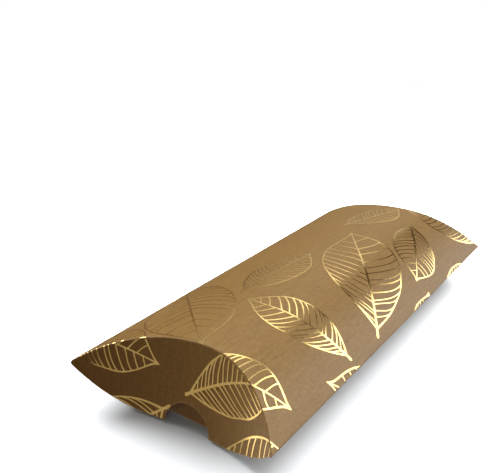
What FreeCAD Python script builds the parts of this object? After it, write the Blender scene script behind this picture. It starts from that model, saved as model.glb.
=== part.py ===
import FreeCAD, Part
import math
import os
import Sketcher

# Pillow box folded from one card blank: two arched panels joined along the sides, closed at each end by
# an inner and an outer flap on curved creases. Millimetres, +Z up, length along Y, front end at -Y.
# Origin: middle of the strip the box rests on. The side folds lie in the plane z = base_depth.

V = FreeCAD.Vector
doc = FreeCAD.newDocument("pillow_box")

# ---------------------------------------------------------------- driving dimensions
SIZES = {
    "box_length": 180.0,         # corner to corner along the side folds
    "box_width": 81.0,           # across the side folds, erected
    "crown_height": 16.2,        # top panel's crown over the side folds
    "crown_shift": 8.4,          # crown of the top panel, to the right of the middle
    "base_depth": 15.0,          # rest strip under the side folds
    "base_flat": 18.0,           # width of the strip the box rests on
    "card": 0.4,                 # card thickness
    "fold_band": 0.7,            # half the height of a scored side fold
    "fold_length": 176.6,        # length of a scored side fold
    "fold_radius": 0.2,          # outer edge of the right side fold
    "crease_depth": 14.0,        # how far the top creases run in from the corners
    "base_crease_depth": 13.6,   # the same for the bottom creases
    "crease_band": 0.6,          # width of a scored end crease
    "crease_gap": 0.2,           # clearance between a panel and its crease band
    "flap_trim": 2.8,            # flap tips stop this far inside the side folds
    "outer_lean": 9.0,           # outer flaps lean outwards, degrees
    "outer_reach": 30.8,         # crease crown to free edge, outer flap
    "outer_flat": 13.0,          # half the straight part of the outer free edge
    "outer_left": 19.5,          # free edge's left end below the hinge line
    "outer_right": 17.5,         # free edge's right end below the hinge line
    "notch_radius": 8.75,        # thumb notch
    "notch_shift": 2.35,         # notch centre to the right of the middle
    "inner_lean": 8.0,           # inner flaps lean inwards, degrees
    "inner_reach": 22.0,         # crease crown to free edge, inner flap
    "inner_flat": 8.0,           # half the straight part of the inner free edge
    "inner_side": 12.0,          # free edge's ends above the hinge line
    "tab_width": 12.0,           # glue tab
    "tab_length": 144.0,
    "tab_taper": 8.0,
    "glue_thickness": 0.2,
    "glue_width": 6.0,
    "glue_inset": 3.0,
    "glue_length": 116.0,
}
sheet = doc.addObject("Spreadsheet::Sheet", "sizes")
for row, (alias, value) in enumerate(SIZES.items(), start=1):
    sheet.set("A%d" % row, alias)
    sheet.set("B%d" % row, repr(value))
    sheet.setAlias("B%d" % row, alias)
doc.recompute()


class Q:
    """A size: its present value, and the expression on the sheet that gives it."""

    def __init__(self, value, text):
        self.v = value
        self.t = text

    @staticmethod
    def of(x):
        return x if isinstance(x, Q) else Q(float(x), "(%r)" % float(x))

    def __add__(self, o):
        o = Q.of(o)
        return Q(self.v + o.v, "(%s + %s)" % (self.t, o.t))

    def __sub__(self, o):
        o = Q.of(o)
        return Q(self.v - o.v, "(%s - %s)" % (self.t, o.t))

    def __mul__(self, o):
        o = Q.of(o)
        return Q(self.v * o.v, "(%s * %s)" % (self.t, o.t))

    def __truediv__(self, o):
        o = Q.of(o)
        return Q(self.v / o.v, "(%s / %s)" % (self.t, o.t))

    def __radd__(self, o):
        return Q.of(o) + self

    def __rsub__(self, o):
        return Q.of(o) - self

    def __rmul__(self, o):
        return Q.of(o) * self

    def __neg__(self):
        return Q(-self.v, "(0 - %s)" % self.t)


def root(q):
    return Q(math.sqrt(q.v), "sqrt(%s)" % q.t)


def sq(q):
    return q * q


def sind(q):
    return Q(math.sin(math.radians(q.v)), "sin(%s * 1 deg)" % q.t)


def cosd(q):
    return Q(math.cos(math.radians(q.v)), "cos(%s * 1 deg)" % q.t)


S = {alias: Q(sheet.get(alias), "sizes." + alias) for alias in SIZES}

half_len = S["box_length"] / 2
half_wid = S["box_width"] / 2
card = S["card"]
fold_z = S["base_depth"]
rise = S["crown_height"]
shift = S["crown_shift"]
band = S["fold_band"]
crown_z = fold_z + rise


def arc_radius(run, sag):
    return (sq(run) + sq(sag)) / (2 * sag)


# ---------------------------------------------------------------- sketch and body helpers
def plane(body, role):
    return [f for f in body.Origin.OriginFeatures if f.Role == role][0]


def new_body(name, hinge=None, lean=None, turn=0.0):
    """A body; with a hinge, its axes stand on that hinge line, leaned about X and turned about Z."""
    body = doc.addObject("PartDesign::Body", name)
    body.Label = name
    if hinge is not None:
        y, z = hinge
        rot = FreeCAD.Rotation(V(0, 0, 1), turn).multiply(FreeCAD.Rotation(V(1, 0, 0), -lean.v))
        side = 1.0 if turn == 0.0 else -1.0
        body.Placement = FreeCAD.Placement(V(0, side * y.v, z.v), rot)
        body.setExpression("Placement.Base.y", (Q.of(side) * y).t)
        body.setExpression("Placement.Base.z", z.t)
    return body


def new_sketch(body, role, name):
    sk = body.newObject("Sketcher::SketchObject", name)
    sk.AttachmentSupport = [(plane(body, role), "")]
    sk.MapMode = "FlatFace"
    return sk


def loop(sk, corners):
    """Closed outline. Each corner is (x, y) or (x, y, radius, bulge): the arc that leaves it, with its
    centre to the left (bulge +1) or right (bulge -1) of the chord."""
    ends = []
    n = len(corners)
    for i, c in enumerate(corners):
        d = corners[(i + 1) % n]
        a = V(c[0].v, c[1].v, 0)
        b = V(d[0].v, d[1].v, 0)
        if len(c) == 2:
            g = sk.addGeometry(Part.LineSegment(a, b), False)
            ends.append((g, 1, 2, None))
            continue
        r, bulge = c[2], c[3]
        chord = b - a
        half = chord.Length / 2
        left = V(-chord.y, chord.x, 0).normalize()
        centre = (a + b) * 0.5 + left * (bulge * math.sqrt(r.v * r.v - half * half))
        first, last = (a, b) if bulge > 0 else (b, a)
        a0 = math.atan2(first.y - centre.y, first.x - centre.x)
        a1 = math.atan2(last.y - centre.y, last.x - centre.x)
        if a1 < a0:
            a1 += 2 * math.pi
        g = sk.addGeometry(Part.ArcOfCircle(Part.Circle(centre, V(0, 0, 1), r.v), a0, a1), False)
        ends.append((g, 1, 2, r) if bulge > 0 else (g, 2, 1, r))
    for i in range(n):
        g, _, out, _ = ends[i]
        h, into, _, _ = ends[(i + 1) % n]
        sk.addConstraint(Sketcher.Constraint("Coincident", g, out, h, into))
    for i, c in enumerate(corners):
        g, into, _, r = ends[i]
        for kind, q in (("DistanceX", c[0]), ("DistanceY", c[1])):
            k = sk.addConstraint(Sketcher.Constraint(kind, -1, 1, g, into, q.v))
            sk.setExpression("Constraints[%d]" % k, q.t)
        if r is not None:
            k = sk.addConstraint(Sketcher.Constraint("Radius", g, r.v))
            sk.setExpression("Constraints[%d]" % k, r.t)


def disc(sk, x, y, r):
    g = sk.addGeometry(Part.Circle(V(x.v, y.v, 0), V(0, 0, 1), r.v), False)
    for kind, q in (("DistanceX", x), ("DistanceY", y)):
        k = sk.addConstraint(Sketcher.Constraint(kind, -1, 1, g, 3, q.v))
        sk.setExpression("Constraints[%d]" % k, q.t)
    k = sk.addConstraint(Sketcher.Constraint("Radius", g, r.v))
    sk.setExpression("Constraints[%d]" % k, r.t)


def pad(body, sk, length, name):
    f = body.newObject("PartDesign::Pad", name)
    f.Profile = sk
    f.SideType = "Symmetric"
    f.Length = length.v
    f.setExpression("Length", length.t)
    doc.recompute()
    return f


def pocket(body, sk, name):
    """Cut right through, both ways, and make sure that it took something off."""
    before = body.Shape.Volume
    f = body.newObject("PartDesign::Pocket", name)
    f.Profile = sk
    f.SideType = "Symmetric"
    f.Length = 2 * S["box_length"].v
    f.setExpression("Length", (2 * S["box_length"]).t)
    doc.recompute()
    if not body.Shape.Volume < before - 1e-6:
        raise RuntimeError("%s of %s cut nothing" % (name, body.Label))
    return f


# ---------------------------------------------------------------- sections
rad_left = arc_radius(half_wid + shift, rise)       # top panel, left of its crown
rad_right = arc_radius(half_wid - shift, rise)      # top panel, right of its crown
flat = S["base_flat"] / 2
rad_base = arc_radius(half_wid - flat, S["base_depth"])   # both shoulders of the bottom panel


def top_x(z, depth, right):
    """Where the top panel's face, sunk by depth, crosses the height z on one side."""
    r = rad_right if right else rad_left
    reach = root(sq(r - depth) - sq(z - (crown_z - r)))
    return shift + reach if right else shift - reach


def base_x(z, depth, right):
    reach = flat + root(sq(rad_base - depth) - sq(rad_base - z))
    return reach if right else -reach


def arch(sk, z_left, z_right):
    """Section of the top panel: two arcs that meet level at the crown, outside and inside."""
    none = Q.of(0.0)
    loop(sk, [
        (top_x(z_left, none, False), z_left, rad_left, -1),
        (shift, crown_z, rad_right, -1),
        (top_x(z_right, none, True), z_right),
        (top_x(z_right, card, True), z_right, rad_right - card, 1),
        (shift, crown_z - card, rad_left - card, 1),
        (top_x(z_left, card, False), z_left),
    ])


def trough(sk, z_end):
    """Section of the bottom panel: the rest strip with a rounded shoulder on each side."""
    none = Q.of(0.0)
    loop(sk, [
        (base_x(z_end, none, False), z_end, rad_base, 1),
        (-flat, none),
        (flat, none, rad_base, 1),
        (base_x(z_end, none, True), z_end),
        (base_x(z_end, card, True), z_end, rad_base - card, -1),
        (flat, card),
        (-flat, card, rad_base - card, -1),
        (base_x(z_end, card, False), z_end),
    ])


# Each end crease lies in a plane through the two corners of that end. slope is how far the plane runs
# inwards per millimetre of height, along_y turns a distance square to the plane into one along Y.
top_slope = S["crease_depth"] / rise
base_slope = S["base_crease_depth"] / S["base_depth"]


def along_y(dist, slope):
    return dist * root(1 + sq(slope))


def top_line(side, dist, z):
    """Y of the front (side -1) or rear (+1) top crease plane, moved inwards by dist, at the height z."""
    return side * (half_len - along_y(dist, top_slope) - top_slope * (z - fold_z))


def base_line(side, dist, z):
    return side * (half_len - along_y(dist, base_slope) - base_slope * (fold_z - z))


def beyond(sk, line, side, dist, z0, z1):
    """Everything outside a crease plane, as an outline in the side view."""
    far = side * (half_len + 20)
    loop(sk, [(line(side, dist, z0), z0), (line(side, dist, z1), z1), (far, z1), (far, z0)])


def within(sk, line, side, dist, z0, z1):
    """Everything inside a crease plane, to past the other end of the box."""
    far = -side * (half_len + 20)
    loop(sk, [(line(side, dist, z0), z0), (line(side, dist, z1), z1), (far, z1), (far, z0)])


nodes = []
top_low, top_high = fold_z - 3, crown_z + 3
base_low, base_high = Q.of(-3.0), fold_z + 3
clear = S["crease_band"] + S["crease_gap"]

# ---------------------------------------------------------------- top panel
top = new_body("top_panel")
sk = new_sketch(top, "XZ_Plane", "top_section")
arch(sk, fold_z, fold_z + band)
pad(top, sk, S["box_length"], "top_sheet")
for side, name in ((Q.of(-1.0), "front"), (Q.of(1.0), "rear")):
    sk = new_sketch(top, "YZ_Plane", "top_%s_end" % name)
    beyond(sk, top_line, side, clear, top_low, top_high)
    pocket(top, sk, "top_%s_cut" % name)
nodes.append(top)

# ---------------------------------------------------------------- bottom panel
base = new_body("bottom_panel")
sk = new_sketch(base, "XZ_Plane", "base_section")
trough(sk, fold_z - band)
pad(base, sk, S["box_length"], "base_sheet")
for side, name in ((Q.of(-1.0), "front"), (Q.of(1.0), "rear")):
    sk = new_sketch(base, "YZ_Plane", "base_%s_end" % name)
    beyond(sk, base_line, side, clear, base_low, base_high)
    pocket(base, sk, "base_%s_cut" % name)
nodes.append(base)

# ---------------------------------------------------------------- right side fold, where the two panels meet
none = Q.of(0.0)
fold = new_body("right_side_fold")
sk = new_sketch(fold, "XZ_Plane", "fold_section")
loop(sk, [
    (top_x(fold_z + band, none, True), fold_z + band),
    (half_wid, fold_z),
    (base_x(fold_z - band, none, True), fold_z - band),
    (base_x(fold_z - band, card, True), fold_z - band),
    (top_x(fold_z, card, True), fold_z),
    (top_x(fold_z + band, card, True), fold_z + band),
])
fold_pad = pad(fold, sk, S["fold_length"], "fold_strip")
edge = [
    "Edge%d" % (i + 1)
    for i, e in enumerate(fold_pad.Shape.Edges)
    if all(abs(p.Point.x - half_wid.v) < 1e-4 for p in e.Vertexes) and e.Length > 10
]
rounded = fold.newObject("PartDesign::Fillet", "fold_edge")
rounded.Base = (fold_pad, edge)
rounded.Radius = S["fold_radius"].v
rounded.setExpression("Radius", S["fold_radius"].t)
doc.recompute()
nodes.append(fold)

# ---------------------------------------------------------------- glue tab, inside the left edge of the top panel
sunk = card + S["glue_thickness"]


def under_top(x, depth):
    """Height of the top panel's face, sunk by depth, left of the crown."""
    return crown_z - rad_left + root(sq(rad_left - depth) - sq(x - shift))


tab = new_body("glue_tab")
sk = new_sketch(tab, "XZ_Plane", "tab_section")
tab_x = S["tab_width"] - half_wid
loop(sk, [
    (top_x(fold_z + band, sunk, False), fold_z + band, rad_left - sunk, -1),
    (tab_x, under_top(tab_x, sunk)),
    (tab_x, under_top(tab_x, sunk + card), rad_left - sunk - card, 1),
    (top_x(fold_z + band, sunk + card, False), fold_z + band),
])
pad(tab, sk, S["tab_length"], "tab_sheet")
for side, name in ((Q.of(-1.0), "front"), (Q.of(1.0), "rear")):
    sk = new_sketch(tab, "XY_Plane", "tab_%s_end" % name)
    end = side * S["tab_length"] / 2
    back = side * (S["tab_length"] / 2 - S["tab_taper"])
    loop(sk, [(-half_wid, end), (tab_x, back), (tab_x + 3, back), (tab_x + 3, end + side * 3), (-half_wid, end + side * 3)])
    pocket(tab, sk, "tab_%s_taper" % name)
nodes.append(tab)

# ---------------------------------------------------------------- scored fold between the bottom panel and the tab
tab_fold = new_body("glue_tab_fold")
sk = new_sketch(tab_fold, "XZ_Plane", "tab_fold_section")
loop(sk, [
    (base_x(fold_z - band, none, False), fold_z - band),
    (card - half_wid, fold_z - card * 1.2),
    (top_x(fold_z + band, sunk, False), fold_z + band),
    (top_x(fold_z + band, sunk + card, False), fold_z + band),
    (base_x(fold_z - band, card, False) - card / 4, fold_z - card * 1.35),
    (base_x(fold_z - band, card, False), fold_z - band),
])
pad(tab_fold, sk, S["tab_length"], "tab_fold_strip")
nodes.append(tab_fold)

# ---------------------------------------------------------------- adhesive between the tab and the top panel
glue = new_body("glue_line")
sk = new_sketch(glue, "XZ_Plane", "glue_section")
gx0 = S["glue_inset"] - half_wid
gx1 = gx0 + S["glue_width"]
loop(sk, [
    (gx0, under_top(gx0, card), rad_left - card, -1),
    (gx1, under_top(gx1, card)),
    (gx1, under_top(gx1, sunk), rad_left - sunk, 1),
    (gx0, under_top(gx0, sunk)),
])
pad(glue, sk, S["glue_length"], "glue_strip")
nodes.append(glue)

# ---------------------------------------------------------------- end creases: the scored band between a panel and its flap
for side, end in ((Q.of(-1.0), "front"), (Q.of(1.0), "rear")):
    crease = new_body(end + "_outer_crease")
    sk = new_sketch(crease, "XZ_Plane", end + "_outer_crease_section")
    arch(sk, fold_z + band, fold_z + band)
    pad(crease, sk, S["box_length"], end + "_outer_crease_sheet")
    sk = new_sketch(crease, "YZ_Plane", end + "_outer_crease_line")
    beyond(sk, top_line, side, none, top_low, top_high)
    pocket(crease, sk, end + "_outer_crease_cut")
    sk = new_sketch(crease, "YZ_Plane", end + "_outer_crease_width")
    within(sk, top_line, side, S["crease_band"], top_low, top_high)
    pocket(crease, sk, end + "_outer_crease_trim")
    nodes.append(crease)

    crease = new_body(end + "_inner_crease")
    sk = new_sketch(crease, "XZ_Plane", end + "_inner_crease_section")
    trough(sk, fold_z - band)
    pad(crease, sk, S["box_length"], end + "_inner_crease_sheet")
    sk = new_sketch(crease, "YZ_Plane", end + "_inner_crease_line")
    beyond(sk, base_line, side, none, base_low, base_high)
    pocket(crease, sk, end + "_inner_crease_cut")
    sk = new_sketch(crease, "YZ_Plane", end + "_inner_crease_width")
    within(sk, base_line, side, S["crease_band"], base_low, base_high)
    pocket(crease, sk, end + "_inner_crease_trim")
    nodes.append(crease)

# ---------------------------------------------------------------- what the flaps are trimmed to: the inside of each panel
over = new_body("above_top_inside")
sk = new_sketch(over, "XZ_Plane", "above_section")
wide = half_wid + 10
loop(sk, [
    (top_x(fold_z, card, False), fold_z, rad_left - card, -1),
    (shift, crown_z - card, rad_right - card, -1),
    (top_x(fold_z, card, True), fold_z),
    (wide, fold_z),
    (wide, crown_z + 70),
    (-wide, crown_z + 70),
    (-wide, fold_z),
])
pad(over, sk, S["box_length"] + 60, "above_block")

under = new_body("below_base_inside")
sk = new_sketch(under, "XZ_Plane", "below_section")
loop(sk, [
    (base_x(fold_z, card, False), fold_z, rad_base - card, 1),
    (-flat, card),
    (flat, card, rad_base - card, 1),
    (base_x(fold_z, card, True), fold_z),
    (wide, fold_z),
    (wide, Q.of(-70.0)),
    (-wide, Q.of(-70.0)),
    (-wide, fold_z),
])
pad(under, sk, S["box_length"] + 60, "below_block")

# ---------------------------------------------------------------- outer flaps, hung from the top creases
# In a flap's own axes X runs across the box, Y points into it and Z runs up the card from the hinge line,
# which touches the crown of the crease. The card bows inwards, so its printed face is hollow.
lean = S["outer_lean"]
bow = S["crease_depth"] * cosd(lean) - rise * sind(lean)
trim = half_wid - S["flap_trim"]

for side, end, turn in ((-1.0, "front", 0.0), (1.0, "rear", 180.0)):
    # turned half round at the rear, so left and right change places in the flap's own axes
    crown = shift if turn == 0.0 else -shift
    run_a, run_b = half_wid + crown, half_wid - crown
    ra, rb = arc_radius(run_a, bow), arc_radius(run_b, bow)
    sheet_body = new_body(end + "_outer_sheet", (-(half_len - S["crease_depth"]), crown_z), lean, turn)

    def face_a(x, depth):
        return root(sq(ra + depth) - sq(x - crown)) - ra

    def face_b(x, depth):
        return root(sq(rb + depth) - sq(x - crown)) - rb

    sk = new_sketch(sheet_body, "XY_Plane", end + "_outer_section")
    loop(sk, [
        (-trim, face_a(-trim, none), ra, -1),
        (crown, none, rb, -1),
        (trim, face_b(trim, none)),
        (trim, face_b(trim, card), rb + card, 1),
        (crown, card, ra + card, 1),
        (-trim, face_a(-trim, card)),
    ])
    pad(sheet_body, sk, Q.of(90.0), end + "_outer_card")

    # free edge: straight in the middle, rounded up to the corners
    low = -S["outer_reach"]
    left, right = -S["outer_left"], -S["outer_right"]
    if turn != 0.0:
        left, right = right, left
    straight = S["outer_flat"]
    rl = arc_radius(half_wid - straight, left - low)
    rr = arc_radius(half_wid - straight, right - low)
    sk = new_sketch(sheet_body, "XZ_Plane", end + "_outer_edge")
    loop(sk, [
        (-half_wid, left, rl, 1),
        (-straight, low),
        (straight, low, rr, 1),
        (half_wid, right),
        (half_wid, Q.of(-60.0)),
        (-half_wid, Q.of(-60.0)),
    ])
    pocket(sheet_body, sk, end + "_outer_trim")

    sk = new_sketch(sheet_body, "XZ_Plane", end + "_outer_notch")
    disc(sk, S["notch_shift"] * (1.0 if turn == 0.0 else -1.0), low, S["notch_radius"])
    pocket(sheet_body, sk, end + "_outer_thumb")

    flap = doc.addObject("Part::Cut", end + "_outer_flap")
    flap.Label = end + "_outer_flap"
    flap.Base = sheet_body
    flap.Tool = over
    doc.recompute()
    nodes.append(flap)

# ---------------------------------------------------------------- inner flaps, standing on the bottom creases
lean = S["inner_lean"]
bow = S["base_crease_depth"] * cosd(lean) + S["base_depth"] * sind(lean)
rf = arc_radius(half_wid - flat, bow)


def hollow(x, depth):
    return root(sq(rf + depth) - sq(x - flat)) - rf


for side, end, turn in ((-1.0, "front", 0.0), (1.0, "rear", 180.0)):
    sheet_body = new_body(end + "_inner_sheet", (-(half_len - S["base_crease_depth"]), none), lean, turn)
    sk = new_sketch(sheet_body, "XY_Plane", end + "_inner_section")
    loop(sk, [
        (-trim, hollow(trim, none), rf, -1),
        (-flat, none),
        (flat, none, rf, -1),
        (trim, hollow(trim, none)),
        (trim, hollow(trim, card), rf + card, 1),
        (flat, card),
        (-flat, card, rf + card, 1),
        (-trim, hollow(trim, card)),
    ])
    pad(sheet_body, sk, Q.of(90.0), end + "_inner_card")

    high = S["inner_reach"]
    ends_z = S["inner_side"]
    straight = S["inner_flat"]
    re = arc_radius(half_wid - straight, high - ends_z)
    sk = new_sketch(sheet_body, "XZ_Plane", end + "_inner_edge")
    loop(sk, [
        (-half_wid, ends_z, re, -1),
        (-straight, high),
        (straight, high, re, -1),
        (half_wid, ends_z),
        (half_wid, Q.of(60.0)),
        (-half_wid, Q.of(60.0)),
    ])
    pocket(sheet_body, sk, end + "_inner_trim")

    flap = doc.addObject("Part::Cut", end + "_inner_flap")
    flap.Label = end + "_inner_flap"
    flap.Base = sheet_body
    flap.Tool = under
    doc.recompute()
    nodes.append(flap)

# ---------------------------------------------------------------- check and write
doc.recompute()
for obj in doc.Objects:
    if "Invalid" in obj.State or "Error" in obj.State:
        raise RuntimeError("%s failed: %s" % (obj.Label, obj.State))
for obj in nodes:
    shape = obj.Shape
    if shape.isNull() or not shape.isValid() or len(shape.Solids) != 1:
        raise RuntimeError("%s: bad shape, %d solids" % (obj.Label, len(shape.Solids)))
os.makedirs("parts", exist_ok=True)
for obj in nodes:
    obj.Shape.exportStep("parts/%s.step" % obj.Label)
    box = obj.Shape.BoundBox
    print("%-20s %9.2f mm3  x %.2f %.2f  y %.2f %.2f  z %.2f %.2f" % (
        obj.Label, obj.Shape.Volume, box.XMin, box.XMax, box.YMin, box.YMax, box.ZMin, box.ZMax))
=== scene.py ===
import math

import bpy
import numpy as np
from mathutils import Matrix, Vector
from mathutils.geometry import delaunay_2d_cdt


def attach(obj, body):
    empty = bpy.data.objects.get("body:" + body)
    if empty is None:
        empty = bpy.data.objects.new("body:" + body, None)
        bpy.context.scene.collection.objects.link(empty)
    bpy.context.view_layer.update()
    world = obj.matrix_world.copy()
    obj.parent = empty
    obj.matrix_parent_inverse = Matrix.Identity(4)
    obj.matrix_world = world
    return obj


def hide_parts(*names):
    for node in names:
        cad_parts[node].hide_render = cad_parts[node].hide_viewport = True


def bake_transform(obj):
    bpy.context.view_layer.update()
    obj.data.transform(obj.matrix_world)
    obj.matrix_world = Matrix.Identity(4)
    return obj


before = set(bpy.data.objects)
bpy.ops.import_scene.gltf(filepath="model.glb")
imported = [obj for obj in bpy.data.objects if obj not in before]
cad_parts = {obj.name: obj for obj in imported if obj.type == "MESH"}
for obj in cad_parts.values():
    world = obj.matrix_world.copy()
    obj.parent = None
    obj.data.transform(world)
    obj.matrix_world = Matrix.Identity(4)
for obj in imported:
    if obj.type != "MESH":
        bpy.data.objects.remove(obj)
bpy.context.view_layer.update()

# Lengths below are in millimetres until a mesh is made. The box lies along Y, its crown up, resting on z = 0.
MM = 0.001
CARD = 0.4

# ------------------------------------------------------------------ the folded blank as a surface
# U runs across the blank and v along it. U is 0 at the crown, grows to the right over the side fold and then
# goes back under the box. Beyond a curved crease v runs down (or up) the end flap.

FOLD_Z, HALF_W, RISE, SHIFT, HALF_L = 15.0, 40.5, 16.2, 8.4, 90.0
R_LEFT = ((HALF_W + SHIFT) ** 2 + RISE**2) / (2 * RISE)
R_RIGHT = ((HALF_W - SHIFT) ** 2 + RISE**2) / (2 * RISE)
A_LEFT, A_RIGHT = math.asin((HALF_W + SHIFT) / R_LEFT), math.asin((HALF_W - SHIFT) / R_RIGHT)
S_LEFT, S_RIGHT = -R_LEFT * A_LEFT, R_RIGHT * A_RIGHT
REST = 9.0
R_BASE = ((HALF_W - REST) ** 2 + FOLD_Z**2) / (2 * FOLD_Z)
A_BASE = math.asin((HALF_W - REST) / R_BASE)
S_BASE = REST + R_BASE * A_BASE
U_END = S_RIGHT + 2 * S_BASE

FOLD_R = 0.6
FOLD_TURN = math.pi - A_RIGHT - A_BASE
FOLD_T = FOLD_R * math.tan(FOLD_TURN / 2)
CREASE_R = 0.62
OUT_TURN, IN_TURN = math.radians(81.0), math.radians(98.0)
OUT_T, IN_T = CREASE_R * math.tan(OUT_TURN / 2), CREASE_R * math.tan(IN_TURN / 2)
OUT_LEAN, IN_LEAN = math.radians(9.0), math.radians(8.0)
NOTCH_X, NOTCH_R, OUT_REACH, OUT_FLAT = 2.35, 8.75, 30.8, 13.0
IN_REACH, IN_FLAT, IN_SIDE = 22.0, 8.0, 12.0


def smooth(t):
    t = np.clip(t, 0.0, 1.0)
    return t * t * (3 - 2 * t)


def top_section(s):
    r = np.where(s < 0, R_LEFT, R_RIGHT)
    a = s / r
    return SHIFT + r * np.sin(a), FOLD_Z + RISE - r * (1 - np.cos(a))


def base_section(s):
    a = np.clip(np.abs(s) - REST, 0, None) / R_BASE
    return np.sign(s) * (np.minimum(np.abs(s), REST) + R_BASE * np.sin(a)), R_BASE * (1 - np.cos(a))


def top_s(x):
    r = np.where(x < SHIFT, R_LEFT, R_RIGHT)
    return r * np.arcsin((x - SHIFT) / r)


def base_s(x):
    a = np.arcsin(np.clip((np.abs(x) - REST) / R_BASE, 0, 1))
    return np.sign(x) * (np.minimum(np.abs(x), REST) + R_BASE * a)


def top_crease(s):
    return HALF_L - 14.0 * (top_section(s)[1] - FOLD_Z) / RISE


def base_crease(s):
    return HALF_L - 13.6 * (FOLD_Z - base_section(s)[1]) / FOLD_Z


def arc_drop(x, flat, run, drop):
    """How far a free edge has risen from its straight middle at x, along an arc tangent to it."""
    r = (run * run + drop * drop) / (2 * drop)
    e = np.clip(np.abs(x) - flat, 0, run)
    return r - np.sqrt(r * r - e * e)


def out_reach(s, notch=True):
    """Length of the outer flap below its crease."""
    x, z = top_section(s)
    crease = -18.19 * (1 - (z - FOLD_Z) / RISE)
    run = HALF_W - OUT_FLAT
    edge = -OUT_REACH + np.where(x < 0, arc_drop(x, OUT_FLAT, run, OUT_REACH - 19.5), arc_drop(x, OUT_FLAT, run, OUT_REACH - 17.5))
    if notch:
        e = np.clip(NOTCH_R**2 - (x - NOTCH_X) ** 2, 0, None)
        edge = np.maximum(edge, -OUT_REACH + np.sqrt(e))
    return np.maximum(crease - edge, OUT_T + 0.12)


def in_reach(s):
    """Length of the inner flap above its crease."""
    x, z = base_section(s)
    crease = 12.96 * (1 - (FOLD_Z - z) / FOLD_Z)
    edge = IN_REACH - arc_drop(x, IN_FLAT, HALF_W - IN_FLAT, IN_REACH - IN_SIDE)
    return np.maximum(edge - crease, IN_T + 0.12)


def rounded(x, z, past, turn, radius, away, up):
    """The path in a plane of constant x: out along the panel, round the crease and along the flap."""
    t = radius * math.tan(turn / 2)
    b = np.clip((past + t) / (2 * t), 0, 1) * turn
    far = np.clip(past - t, 0, None)
    y = np.minimum(past, -t) + radius * np.sin(b) + far * math.cos(turn)
    return y, z + up * (radius - radius * np.cos(b) + far * math.sin(turn))


def raw_point(u, v):
    """The printed face of the blank at (u, v), with every fold rounded, before the card's slight waves."""
    over = u > S_RIGHT
    s = np.where(over, S_BASE - (u - S_RIGHT), u)
    xt, zt = top_section(np.where(over, 0, s))
    xb, zb = base_section(np.where(over, s, 0))
    x, z = np.where(over, xb, xt), np.where(over, zb, zt)
    crease = np.where(over, base_crease(np.where(over, s, 0)), top_crease(np.where(over, 0, s)))
    # the right side fold
    x0, z0 = top_section(np.array(S_RIGHT - FOLD_T))
    n0, t0 = (math.sin(A_RIGHT), math.cos(A_RIGHT)), (math.cos(A_RIGHT), -math.sin(A_RIGHT))
    f = (u - (S_RIGHT - FOLD_T)) / (2 * FOLD_T)
    b = np.clip(f, 0, 1) * FOLD_TURN
    fx = x0 + FOLD_R * (n0[0] * (np.cos(b) - 1) + t0[0] * np.sin(b))
    fz = z0 + FOLD_R * (n0[1] * (np.cos(b) - 1) + t0[1] * np.sin(b))
    on_fold = (f > 0) & (f < 1)
    x, z = np.where(on_fold, fx, x), np.where(on_fold, fz, z)
    side = np.where(v < 0, -1.0, 1.0)
    past = np.abs(v) - crease
    yo, zo = rounded(x, z, past, OUT_TURN, CREASE_R, 1, -1)
    yi, zi = rounded(x, z, past, IN_TURN, CREASE_R, 1, 1)
    y = side * (crease + np.where(over, yi, yo))
    z = np.where(over, zi, zo)
    # the inner flap's tips keep behind the outer flap
    tuck = np.where(over, 0.55 * smooth((np.abs(x) - 34.5) / 5.0) * smooth((past - 0.6) / 3.0), 0)
    return np.stack([x, y - side * tuck, z], -1)


def wave(u, v):
    """Card is never quite straight: a few hundredths of a millimetre of slow waves, none at the folds."""
    w = 0.055 * np.sin(u / 9.1 + v / 23.0 + 0.7) + 0.05 * np.sin(v / 13.7 - u / 17.0 + 2.1) + 0.03 * np.sin(u / 5.3 - v / 31.0 + 4.0)
    w = w + 0.018 * np.sin(u / 2.9 + v / 7.3) * np.sin(v / 4.7 - u / 6.1)
    hold = smooth((u - S_LEFT - 0.5) / 7) * smooth((np.abs(u - S_RIGHT) - 0.8) / 7) * smooth((U_END - u - 0.5) / 7)
    over = u > S_RIGHT
    s = np.where(over, S_BASE - (u - S_RIGHT), u)
    crease = np.where(over, base_crease(np.where(over, s, 0)), top_crease(np.where(over, 0, s)))
    flat = np.where(over, smooth((np.abs(s) - REST) / 10), 1.0)
    return w * hold * flat * (0.15 + 0.85 * smooth((np.abs(np.abs(v) - crease) - 0.6) / 5))


def raw_normal(u, v, point):
    h = 0.01
    n = np.cross(point(u + h, v) - point(u - h, v), point(u, v + h) - point(u, v - h))
    n /= np.linalg.norm(n, axis=-1, keepdims=True)
    return n * np.where(u > S_RIGHT, 1.0, 1.0)[..., None]


def blank_point(u, v):
    n = raw_normal(u, v, raw_point)
    return raw_point(u, v) + n * wave(u, v)[..., None]


def blank(u, v):
    """Point and outward normal of the printed face."""
    u, v = np.asarray(u, float), np.asarray(v, float)
    return blank_point(u, v), raw_normal(u, v, blank_point)


# ------------------------------------------------------------------ meshes


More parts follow.
